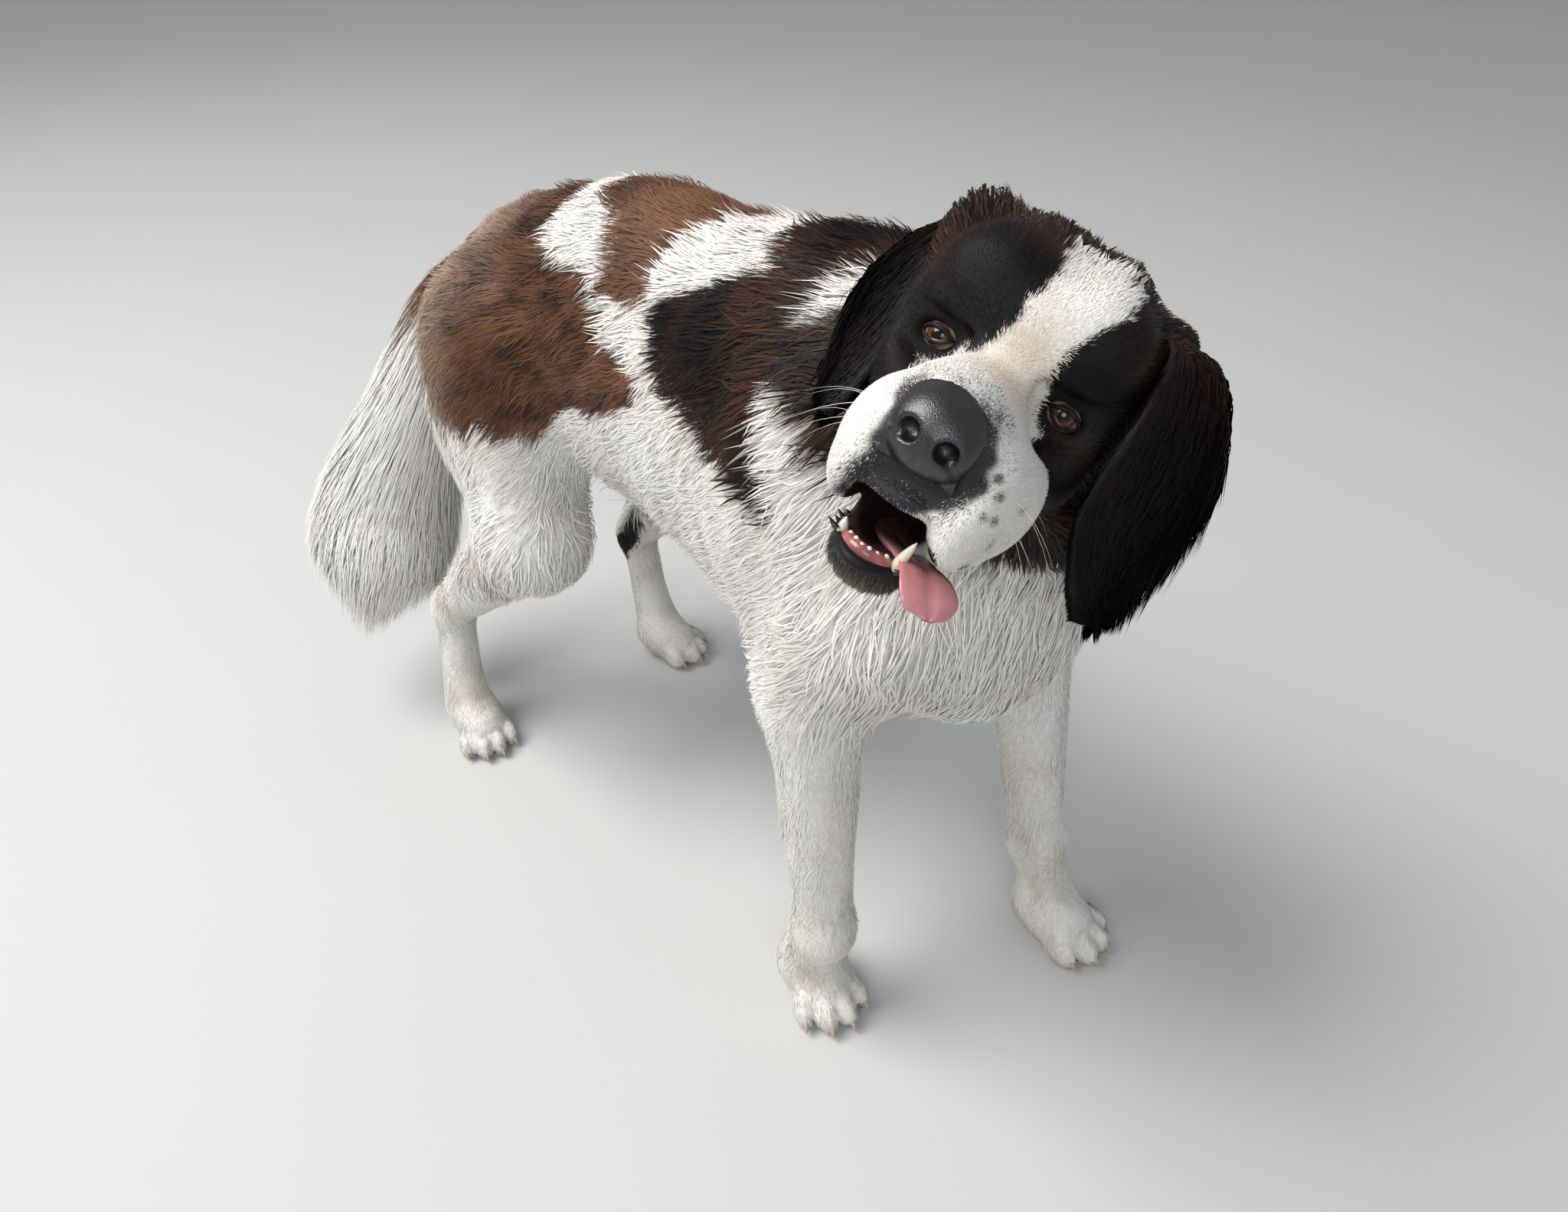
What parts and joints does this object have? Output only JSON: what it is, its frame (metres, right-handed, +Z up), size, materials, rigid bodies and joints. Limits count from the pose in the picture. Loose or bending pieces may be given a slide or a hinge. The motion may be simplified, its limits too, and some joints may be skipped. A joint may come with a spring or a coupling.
{
  "type": "saint bernard",
  "caption": "Standing long-haired dog with its head turned and tilted, mouth open, ears hanging and a bushy tail swung aside.",
  "frame": {"origin": "the middle of the whole model's footprint, on the floor", "axes": "+Z up, the dog's body faces -Y, its left side is +X"},
  "size_m": [0.4578, 1.0858, 0.8216],
  "materials": {
    "body_coat": "long soft coat, reddish brown and black with white patches",
    "white_coat": "long soft white coat",
    "dark_coat": "short to middling black coat with a white blaze and muzzle",
    "nose_leather": "pebbled, moist, black",
    "tongue_skin": "moist pink skin",
    "eye": "wet, clear, brown"
  },
  "bodies": {
    "root": {"torso": "body_coat", "neck": "white_coat", "head": "dark_coat", "nose": "nose_leather", "lower_jaw": "dark_coat", "tongue": "tongue_skin", "ear_left": "dark_coat", "ear_right": "dark_coat", "eye_left": "eye", "eye_right": "eye", "leg_left_fore": "white_coat", "leg_right_fore": "white_coat", "leg_left_hind": "white_coat", "leg_right_hind": "white_coat", "tail": "white_coat"}
  },
  "joints": []
}
